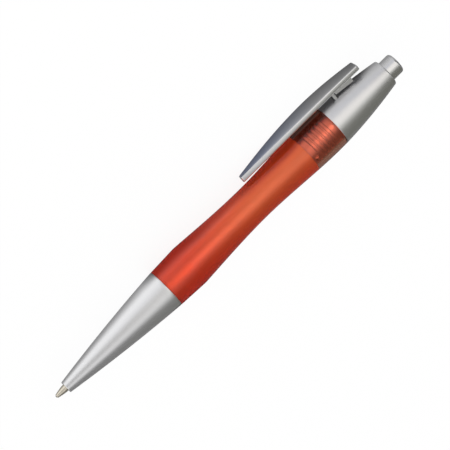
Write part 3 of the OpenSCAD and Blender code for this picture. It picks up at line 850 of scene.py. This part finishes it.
class PEN_OT_clip(bpy.types.Operator):
    """Models the clip's leaf, its foot and its stop rib"""

    bl_idname = "pen.clip"
    bl_label = "Clip"

    def execute(self, context):
        s = context.scene.pen_clip
        paint = silver_lacquer("silver_clip_lacquer", s.paint, gloss=0.3)
        place = clip_turn()
        cap = context.scene.pen_cap
        for piece in (self.leaf(s), self.foot(s, cap), self.rib(s, cap)):
            piece.data.transform(place)
            finish_piece(piece, "clip", "silver_clip", "clip", paint)
        return {"FINISHED"}

    def face_h(self, s, d):
        """Height of the face's middle line over the pen's axis, at a distance from the lower tip."""
        return leafed(s, d, s.tip_h, s.peak_h, s.top_h)

    def half_w(self, s, d):
        """Half the clip's width."""
        ends = corner_cut(s.corner, d) + corner_cut(s.corner, s.run - d)
        return leafed(s, d, s.tip_w, s.width, s.top_w) / 2 - ends

    def under_h(self, s, d):
        """Height of the underside over the pen's axis."""
        w = self.half_w(s, d)
        t = d / s.wide_at
        edge = eased(s.tip_edge, s.edge, t) if t < 1 else s.edge
        return self.face_h(s, d) - s.crown * (2 * w / s.width) ** 2 - edge

    def leaf(self, s):
        """A flat grid, crowned row by row, shaped station by station, then extruded to its underside."""
        rows, stations, round_rows, arc_steps = 12, 90, 3, 4
        deselect()
        bpy.ops.mesh.primitive_grid_add(x_subdivisions=stations, y_subdivisions=rows, size=2)
        obj = bpy.context.object
        obj.name = obj.data.name = "clip_leaf"
        columns = self.lines_of(obj, 0)
        lines = self.lines_of(obj, 1)
        bpy.ops.object.mode_set(mode="EDIT")
        # Lines along the leaf: the outer ones follow the rounding of the face's edge, and all are crowned
        fall = {}
        for number, (y, members) in enumerate(lines):
            from_edge = min(number, len(lines) - 1 - number)
            if from_edge < round_rows:
                a = math.pi / 2 * from_edge / round_rows
                new_y = 1 - s.rounding * (1 - math.cos(a)) * 2 / s.width
                fall[number] = s.rounding * (1 - math.sin(a))
            else:
                new_y = (1 - 2 * s.rounding / s.width) * abs(y) / (1 - 2 * round_rows / (len(lines) - 1))
            new_y = math.copysign(new_y, y)
            pick(obj, members)
            bpy.ops.transform.translate(value=(0, new_y - y, -new_y * new_y))
        # Stations: closer together towards both ends, each with its own width, crown and height
        places = []
        for number, (x, members) in enumerate(columns):
            t = (1 - math.cos(math.pi * number / (len(columns) - 1))) / 2
            d = s.run * t
            w = self.half_w(s, d)
            off_end = corner_cut(s.rounding, min(d, s.run - d))
            here = TIP_X + s.start + d
            pick(obj, members)
            rim = w * (1 - 2 * eased(s.draft, s.top_draft, t) / s.width)
            crown = s.crown * (2 * w / s.width) ** 2
            bpy.ops.transform.resize(value=(1, rim, crown), center_override=(x, 0, 0))
            bpy.ops.transform.translate(value=(here - x, 0, self.face_h(s, d) - off_end))
            places.append((here, w, rim, self.under_h(s, d)))
        for number, (_, members) in enumerate(lines):
            if number in fall:
                pick(obj, members)
                bpy.ops.transform.translate(value=(0, 0, -fall[number]))
        # Sides and underside: extruded down by any length, then each station is flattened at its own level
        down, same_place = -20 * MM, 0.002 * MM
        bpy.ops.mesh.select_all(action="SELECT")
        for step in range(arc_steps + 1):
            a = math.pi / 2 * step / arc_steps
            before = math.pi / 2 * (step - 1) / arc_steps
            bpy.ops.mesh.extrude_region_move(TRANSFORM_OT_translate={"value": (0, 0, down)})
            moved = self.selected(obj)
            for here, w, rim, under in places:
                r = min(s.under_round, w / 2)
                narrow = (w - r * (1 - math.cos(a))) / (w - r * (1 - math.cos(before)) if step else rim)
                pick(obj, {index for index, co in moved.items() if abs(co.x - here) < same_place})
                level = under + r * (1 - math.sin(a))
                bpy.ops.transform.resize(value=(1, narrow, 0), center_override=(here, 0, level))
            pick(obj, set(moved))
        close_up(smooth_deg=32)
        return obj

    def lines_of(self, obj, axis):
        """The grid's vertices, line by line along one axis: each line's place and its vertices."""
        found = {}
        for vert in obj.data.vertices:
            found.setdefault(round(vert.co[axis], 6), set()).add(vert.index)
        return sorted(found.items())

    def selected(self, obj):
        """The selected vertices and their places, in edit mode."""
        mesh = bmesh.from_edit_mesh(obj.data)
        mesh.verts.index_update()
        return {vert.index: vert.co.copy() for vert in mesh.verts if vert.select}

    def foot(self, s, cap):
        """The thin foot that bends when the clip is pressed."""
        d = s.run - s.foot_back
        x = TIP_X + s.start + d
        low = cap_r(cap, x) - s.foot_root
        high = self.under_h(s, d) + s.edge / 2
        half_t, half_w = s.foot_t / 2, s.foot_w / 2
        foot = boxed("clip_foot", (x - half_t, -half_w, low), (x + half_t, half_w, high))
        soften(foot, s.foot_round)
        return foot

    def rib(self, s, cap):
        """The wedge that stops the pressed clip."""
        d0 = s.run - s.foot_back + s.rib_from
        d1 = d0 + s.rib_len
        x0, x1 = TIP_X + s.start + d0, TIP_X + s.start + d1
        high = self.under_h(s, d0) + s.edge / 2
        low0, low1 = cap_r(cap, x0) + s.rib_gap_low, cap_r(cap, x1) + s.rib_gap_top
        rib = boxed("clip_rib", (x0, -s.rib_w / 2, low0), (x1, s.rib_w / 2, high))
        deselect()
        bpy.context.view_layer.objects.active = rib
        bpy.ops.object.mode_set(mode="EDIT")
        middle_x, middle_z = (x0 + x1) / 2, (low0 + high) / 2
        pick_where(rib, lambda co: co.x > middle_x and co.z < middle_z)
        bpy.ops.transform.translate(value=(0, 0, low1 - low0))
        pick_where(rib, lambda co: co.x > middle_x and co.z > middle_z)
        bpy.ops.transform.translate(value=(0, 0, self.under_h(s, d1) - self.under_h(s, d0)))
        bpy.ops.object.mode_set(mode="OBJECT")
        soften(rib, s.rib_round)
        return rib


class PEN_OT_button(bpy.types.Operator):
    """Models the push button with its flange"""

    bl_idname = "pen.button"
    bl_label = "Button"

    def execute(self, context):
        s = context.scene.pen_button
        flange_x = BUTTON_LOW.x
        outline = rounded(
            [
                (END_X, 0, 0),
                (END_X, s.radius, s.rounding),
                (flange_x + s.flange_len, s.radius, 0),
                (flange_x + s.flange_len, FLANGE_R, s.flange_round),
                (flange_x, FLANGE_R, s.flange_round),
                (flange_x, s.hole_r, 0),
                (END_X - s.end_wall, s.hole_r, 0),
                (END_X - s.end_wall, 0, 0),
            ]
        )
        button = turned("button_shell", outline)
        paint = silver_lacquer("silver_button_lacquer", s.paint, gloss=0.28)
        finish_piece(button, "button", "silver_button", "push_button", paint)
        return {"FINISHED"}


class PEN_OT_refill(bpy.types.Operator):
    """Models the writing point and gives the refill's tube, ink, grease and ball their finish"""

    bl_idname = "pen.refill"
    bl_label = "Refill"

    def execute(self, context):
        s = context.scene.pen_point
        edge_x = TIP_X + s.ball_out
        shank_x = edge_x + s.cone_len
        duct_x = edge_x + s.cone_len / 2

        def cone_r(x):
            return bowed(s.edge_r, s.shank_r, s.cone_bow, (x - edge_x) / s.cone_len)

        outline = rounded(
            [
                # A shallow cup behind the ball
                (edge_x + s.ball_out / 2, 0, 0),
                (edge_x + s.ball_out / 10, s.edge_r * 0.8, 0),
                (edge_x, s.edge_r, s.edge_round),
                *run(edge_x, shank_x, POINT_STEPS, cone_r),
                (shank_x, s.shank_r, 0),
                (TUBE_X - s.shoulder, s.shank_r, 0),
                (TUBE_X - s.shoulder, s.tube_r, s.shoulder_round),
                (TUBE_X, s.tube_r, s.shoulder_round),
                (TUBE_X, s.tail_r, 0),
                (TUBE_X + s.tail_len, s.tail_r, s.tail_round),
                (TUBE_X + s.tail_len, s.duct_r, 0),
                (duct_x, s.duct_r, 0),
                (duct_x, 0, 0),
            ]
        )
        point = turned("writing_point", outline)
        metal = turned_metal("plated_point", s.metal, 0.16)
        finish_piece(point, "refill", "nickel_point", "point_body", metal)
        dress("point_ball", turned_metal("ball_steel", (0.22, 0.21, 0.2), 0.14, rings=9000.0, depth=0.1))
        dress("refill_tube", natural_plastic("tube_plastic", (0.82, 0.83, 0.80), 0.3))
        dress("ink_column", natural_plastic("ink_paste", (0.02, 0.03, 0.22), 0.2))
        dress("grease_plug", natural_plastic("grease_paste", (0.72, 0.64, 0.42), 0.25))
        return {"FINISHED"}


class PEN_OT_mechanism(bpy.types.Operator):
    """Gives the click mechanism its finish and makes the spring"""

    bl_idname = "pen.mechanism"
    bl_label = "Click mechanism"

    def execute(self, context):
        white = natural_plastic("cam_plastic", (0.84, 0.83, 0.78))
        for node in ("cam_plunger", "cam_rotor", "cam_sleeve"):
            dress(node, white)
        steel = turned_metal("spring_steel", (0.58, 0.58, 0.60), 0.3, rings=3000.0, depth=0.2)
        self.spring(context, steel)
        return {"FINISHED"}

    def spring(self, context, steel):
        """The solid's coil, merged."""
        deselect()
        spring = bpy.data.objects.new("coil_spring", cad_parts["return_spring"].data.copy())
        context.collection.objects.link(spring)
        context.view_layer.objects.active = spring
        spring.select_set(True)
        bpy.ops.object.mode_set(mode="EDIT")
        close_up(smooth_deg=60)
        spring.data.materials.clear()
        spring.data.materials.append(steel)
        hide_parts("return_spring")
        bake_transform(spring)


def emission_material(name, tint):
    """A card's plain glow."""
    material = bpy.data.materials.new(name)
    material.use_nodes = True
    tree = material.node_tree
    tree.nodes.clear()
    glow = add_node(tree, "ShaderNodeEmission", Color=(*tint, 1.0))
    outlet = tree.nodes.new("ShaderNodeOutputMaterial")
    tree.links.new(glow.outputs[0], outlet.inputs["Surface"])
    return material


def graded_material(name, over_angle, low, high, bands):
    """What the silver sees around it, as painted reflections: colours graded over a height or an angle, band
    by band along the pen.

    Each band holds where it begins and is fully there along X, and its steps of (place, colour). A ray
    that a matt surface has scattered before sees plain white.
    """
    material = emission_material(name, WHITE[:3])
    tree = material.node_tree
    split = on_object(tree, "ShaderNodeSeparateXYZ")
    height = split.outputs["Y"]
    if over_angle:
        height = calc(tree, "ARCTAN2", split.outputs["Z"], height)
    rise = fade(tree, height, low, high)
    result = None
    for begins, full, steps in bands:
        ramp = tree.nodes.new("ShaderNodeValToRGB")
        for _ in steps[2:]:
            ramp.color_ramp.elements.new(0.5)
        for element, (where, tint) in zip(ramp.color_ramp.elements, steps):
            element.position = (where - low) / (high - low)
            element.color = (*tint, 1.0)
        tree.links.new(rise, ramp.inputs["Fac"])
        band = ramp.outputs["Color"]
        if result is not None:
            band = blended(tree, fade(tree, split.outputs["X"], begins, full), result, band)
        result = band
    path = tree.nodes.new("ShaderNodeLightPath")
    scattered = calc(tree, "MINIMUM", path.outputs["Diffuse Depth"], 1.0)
    result = blended(tree, scattered, result, WHITE)
    tree.links.new(result, tree.nodes["Emission"].inputs["Color"])
    return material


def grey(*steps):
    """Steps of (place, level) as steps of (place, colour)."""
    return [(where, (level, level, level)) for where, level in steps]


def seen_rays(tree):
    """1 for rays from the camera, from mirrors and through glass, and 0 for light that falls on surfaces."""
    path = tree.nodes.new("ShaderNodeLightPath")
    first = calc(tree, "MAXIMUM", path.outputs["Is Camera Ray"], path.outputs["Is Glossy Ray"])
    return calc(tree, "MAXIMUM", first, path.outputs["Is Transmission Ray"])


FLOOR_Z = -0.05 * MM
LAMP_PLACE = (0.32, 0.48, 0.69)
LAMP_SIZE = (0.5, 0.35)
WARM_WHITE = (1.0, 0.97, 0.92)

# The cards that the silver sees: a round tent over the pen, a card on the floor with the pen's painted
# shadow, one past the button
TENT_R = 1.0
TENT_X = 0.9
FLOOR_CARD_CORNERS = ((-0.3, -0.6, -0.02 * MM), (0.3, 0.98, -0.02 * MM))
END_CARD_CORNERS = ((0.45, -0.5, 0.0), (0.46, 0.5, 0.35))

# The tent's bands: where each begins and is fully there along X, and its steps by the angle in degrees
# The warm white steps of the second band are a painted highlight of the soft box, whose own reflection is
# switched off
TENT = (
    (
        -TENT_X, -TENT_X,
        grey(
            (0, 1.0), (14, 1.0), (26, 0.74), (37, 0.46), (50, 0.38), (64, 0.58), (78, 0.86), (92, 0.80),
            (104, 0.42), (112, 0.23), (180, 0.23),
        ),
    ),
    (
        -0.14, 0.04,
        [
            (0, (0.60, 0.60, 0.64)), (20, (0.62, 0.63, 0.66)), (32, (0.78, 0.77, 0.76)),
            (38, (1.0, 0.97, 0.93)), (68, (1.0, 0.97, 0.92)), (75, (0.76, 0.76, 0.72)),
            (86, (0.46, 0.46, 0.43)), (97, (0.26, 0.26, 0.24)), (108, (0.16, 0.16, 0.14)),
            (180, (0.155, 0.155, 0.135)),
        ],
    ),
)

# The floor card's bands: the same, with their steps by the place across the pen in mm
# Their dark steps near the pen, bluish under the clip, are the painted shadow of the pen and its clip on the
# floor, seen only in reflections
FLOOR_CARD = (
    (-0.3, -0.3, grey((-10, 0.25), (3, 0.30), (8, 0.55), (14, 0.88), (22, 1.0))),
    (-0.030, -0.024, grey((-10, 0.06), (3, 0.07), (8, 0.17), (14, 0.55), (22, 0.95))),
    (-0.012, -0.002, grey((-10, 0.15), (3, 0.17), (8, 0.33), (14, 0.70), (22, 1.0))),
    (
        0.008, 0.014,
        [
            (-10, (0.20, 0.20, 0.20)), (3, (0.03, 0.03, 0.035)), (6.5, (0.10, 0.11, 0.15)),
            (9, (0.15, 0.17, 0.23)), (14, (0.36, 0.38, 0.45)), (30, (0.60, 0.61, 0.65)),
        ],
    ),
    (0.02, 0.045, grey((-10, 0.20), (3, 0.03), (6.5, 0.13), (9, 0.18), (14, 0.30), (30, 0.62))),
    (0.061, 0.066, grey((-10, 0.20), (3, 0.32), (9, 0.48), (30, 0.62))),
)


class PEN_OT_stage(bpy.types.Operator):
    """Sets the pale floor, the soft light, the cards beside the pen and the camera"""

    bl_idname = "pen.stage"
    bl_label = "Stage"

    def execute(self, context):
        s = context.scene.pen_stage
        self.floor(s)
        self.world(context, s)
        self.lamp(s)
        self.cards()
        self.camera(context, s)
        return {"FINISHED"}

    def floor(self, s):
        """A pale floor that looks white and keeps part of the pen's shadow."""
        deselect()
        bpy.ops.mesh.primitive_plane_add(size=8, location=(0, 0, FLOOR_Z))
        floor = bpy.context.object
        floor.name = "stage_floor"
        material = bpy.data.materials.new("stage_white")
        material.use_nodes = True
        tree = material.node_tree
        tree.nodes.clear()
        matt = add_node(tree, "ShaderNodeBsdfDiffuse", Color=WHITE)
        glow = add_node(tree, "ShaderNodeEmission", Color=WHITE)
        part = calc(tree, "MULTIPLY", seen_rays(tree), 1 - s.shadow)
        self.mixed(tree, part, matt, glow, "ShaderNodeOutputMaterial")
        floor.data.materials.append(material)

    def world(self, context, s):
        """A white room whose light on surfaces stays at a plain level."""
        world = bpy.data.worlds.new("stage_room")
        world.use_nodes = True
        tree = world.node_tree
        tree.nodes.clear()
        plain = add_node(tree, "ShaderNodeBackground", Color=WHITE, Strength=s.world_level)
        seen = add_node(tree, "ShaderNodeBackground", Color=WHITE, Strength=1.0)
        self.mixed(tree, seen_rays(tree), plain, seen, "ShaderNodeOutputWorld")
        context.scene.world = world

    def mixed(self, tree, part, first, second, kind):
        """Puts out two shaders mixed by a part from 0 to 1."""
        mix = tree.nodes.new("ShaderNodeMixShader")
        outlet = tree.nodes.new(kind)
        for socket, source in zip(mix.inputs, (part, first.outputs[0], second.outputs[0])):
            tree.links.new(source, socket)
        tree.links.new(mix.outputs[0], outlet.inputs["Surface"])

    def lamp(self, s):
        """One soft box over the button's end."""
        bpy.ops.object.light_add(type="AREA", location=LAMP_PLACE)
        lamp = bpy.context.object
        lamp.name = "soft_box"
        lamp.data.energy = s.lamp_power
        lamp.data.shape = "RECTANGLE"
        lamp.data.size, lamp.data.size_y = LAMP_SIZE
        lamp.data.color = WARM_WHITE
        # The soft box lights surfaces only: its highlight in the silver is painted on the tent's warm white
        # band
        lamp.visible_glossy = False
        lamp.rotation_euler = (-lamp.location).to_track_quat("-Z", "Y").to_euler()

    def cards(self):
        """The cards, which draw the bright and dark bands of the silver."""
        deselect()
        bpy.ops.mesh.primitive_grid_add(x_subdivisions=1, y_subdivisions=36, size=2)
        tent = bpy.context.object
        for vert in tent.data.vertices:
            angle = math.pi / 2 * (vert.co.y + 1)
            vert.co = (vert.co.x * TENT_X, TENT_R * math.cos(angle), TENT_R * math.sin(angle))
        bands = self.scaled(TENT, math.pi / 180)
        self.hide(tent, "card_tent", graded_material("tent_card", True, 0.0, math.pi, bands))
        deselect()
        bpy.ops.mesh.primitive_plane_add(size=1)
        card = bpy.context.object
        (x0, y0, z), (x1, y1, _) = FLOOR_CARD_CORNERS
        for vert, corner in zip(card.data.vertices, ((x0, y0, z), (x1, y0, z), (x0, y1, z), (x1, y1, z))):
            vert.co = corner
        # The floor card carries the pen's painted shadow, which only reflections see
        bands = self.scaled(FLOOR_CARD, MM)
        self.hide(card, "card_floor_painted_shadow", graded_material("floor_card_painted_shadow", False, -10 * MM, 30 * MM, bands))
        # A dark card past the button, seen only in reflections: it paints a dark reflection on the button's
        # rounded end
        end = boxed("card_end", *END_CARD_CORNERS)
        self.hide(end, "card_end", emission_material("end_card_dark_reflection", (0.12, 0.12, 0.12)))

    def scaled(self, bands, unit):
        """The bands with their places in metres or radians."""
        return [
            (begins, full, [(where * unit, tint) for where, tint in steps]) for begins, full, steps in bands
        ]

    def hide(self, card, name, material):
        """Names a card, gives it its material and hides it from the camera and from light on surfaces."""
        card.name = card.data.name = name
        card.data.materials.append(material)
        card.visible_camera = card.visible_diffuse = card.visible_shadow = False

    def camera(self, context, s):
        """The photograph's view of the pen, point at the lower left."""
        across = Vector((0, math.cos(s.elevation), math.sin(s.elevation)))
        c = (across * math.cos(s.tilt) - Vector((1, 0, 0)) * math.sin(s.tilt)).normalized()
        along = (Vector((1, 0, 0)) - c * c.x).normalized()
        up_left = c.cross(along)
        right = along * math.cos(s.roll) - up_left * math.sin(s.roll)
        up = along * math.sin(s.roll) + up_left * math.cos(s.roll)
        middle = Vector(((TIP_X + END_X) / 2 + s.aim_along, AXIS.y, AXIS.z))
        aim = middle + up_left * s.aim_up
        data = bpy.data.cameras.new("pen_camera")
        data.lens = s.focal
        data.sensor_width = 36
        data.clip_start = 0.05
        camera = bpy.data.objects.new("pen_camera", data)
        context.scene.collection.objects.link(camera)
        turn = Matrix((right, up, c)).transposed().to_4x4()
        camera.matrix_world = Matrix.Translation(aim + c * s.distance) @ turn
        context.scene.camera = camera
        context.scene.view_settings.view_transform = "Standard"


OPERATORS = (
    PEN_OT_nose,
    PEN_OT_barrel,
    PEN_OT_cap,
    PEN_OT_clip,
    PEN_OT_button,
    PEN_OT_refill,
    PEN_OT_mechanism,
    PEN_OT_stage,
)


class PEN_PT_pieces(bpy.types.Panel):
    """Lists the pieces of the pen, and their sizes and colours"""

    bl_idname = "PEN_PT_pieces"
    bl_label = "Push-button pen"
    bl_space_type = "VIEW_3D"
    bl_region_type = "UI"
    bl_category = "Pen"

    def draw(self, context):
        for operator in OPERATORS:
            self.layout.operator(operator.bl_idname)
        for name, cls in SETTINGS.items():
            box = self.layout.box()
            box.label(text=name.replace("_", " ").capitalize())
            for key in cls.__annotations__:
                box.prop(getattr(context.scene, name), key)


def register():
    for cls in (*SETTINGS.values(), *OPERATORS, PEN_PT_pieces):
        bpy.utils.register_class(cls)
    for name, cls in SETTINGS.items():
        setattr(bpy.types.Scene, name, PointerProperty(type=cls))


def unregister():
    for name in SETTINGS:
        delattr(bpy.types.Scene, name)
    for cls in (PEN_PT_pieces, *OPERATORS, *SETTINGS.values()):
        bpy.utils.unregister_class(cls)


def main():
    """Builds the pen and its stage."""
    register()
    for operator in OPERATORS:
        module, name = operator.bl_idname.split(".")
        getattr(getattr(bpy.ops, module), name)()


if __name__ == "__main__":
    main()
